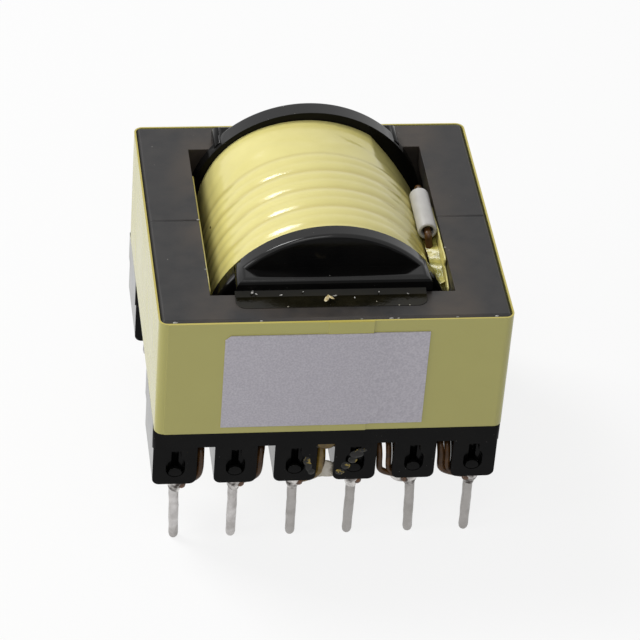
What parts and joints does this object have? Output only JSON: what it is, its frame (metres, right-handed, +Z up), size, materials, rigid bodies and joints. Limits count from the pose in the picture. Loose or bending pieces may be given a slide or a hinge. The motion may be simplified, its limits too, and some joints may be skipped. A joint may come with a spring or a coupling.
{
  "type": "pcb transformer",
  "caption": "Through-hole ferrite transformer: round-post core halves on a black bobbin with two rows of pins, a yellow taped coil, tape round the core and a bare label.",
  "frame": {"origin": "middle of the part's box in X and Y, at the plane of the pin tips", "axes": "+X to the right and -Y towards the viewer with the labelled face in front, +Z up from the pin tips to the coil"},
  "size_m": [0.029, 0.0284, 0.0289],
  "materials": {
    "ferrite": "fired dark grey ferrite, ground flat, satin with brownish smudges",
    "core_tape": "yellow polyester tape, semi-gloss",
    "label": "light grey matte paper, bare",
    "bobbin": "black moulded phenolic, glossy",
    "pin": "tinned copper-clad steel wire",
    "solder": "dull tin solder with flux marks",
    "copper": "enamelled copper winding",
    "coil_tape": "light yellow polyester tape, semi-gloss",
    "margin_tape": "pale margin tape",
    "lead_wire": "brown enamelled copper wire",
    "amber_lead": "amber varnished copper wire",
    "sleeve": "white fluoropolymer tube, waxy",
    "varnish": "dark olive varnish, glossy",
    "amber_varnish": "amber varnish, glossy"
  },
  "bodies": {
    "root": {"core_half_front": "ferrite", "core_half_rear": "ferrite", "core_tape": "core_tape", "label": "label", "bobbin": "bobbin", "pin_1": "pin", "pin_2": "pin", "pin_3": "pin", "pin_4": "pin", "pin_5": "pin", "pin_6": "pin", "pin_7": "pin", "pin_8": "pin", "pin_9": "pin", "pin_10": "pin", "pin_11": "pin", "pin_12": "pin", "solder_1": "solder", "solder_2": "solder", "solder_3": "solder", "solder_4": "solder", "solder_5": "solder", "solder_6": "solder", "solder_7": "solder", "solder_8": "solder", "solder_9": "solder", "solder_10": "solder", "solder_11": "solder", "solder_12": "solder", "winding_inner": "copper", "insulation_inner": "coil_tape", "winding_middle": "copper", "insulation_outer": "coil_tape", "winding_outer": "copper", "margin_tape_front": "margin_tape", "margin_tape_rear": "margin_tape", "coil_wrap": "coil_tape", "lead_1": "lead_wire", "lead_2": "lead_wire", "lead_3": "amber_lead", "lead_4": "lead_wire", "lead_5": "lead_wire", "lead_6": "lead_wire", "lead_7": "lead_wire", "lead_8": "lead_wire", "lead_9": "lead_wire", "lead_sleeve": "sleeve", "sleeved_lead": "lead_wire", "leg_tape": "core_tape", "tape_tail": "core_tape", "varnish_bead": "varnish", "varnish_drip": "amber_varnish"}
  },
  "joints": []
}
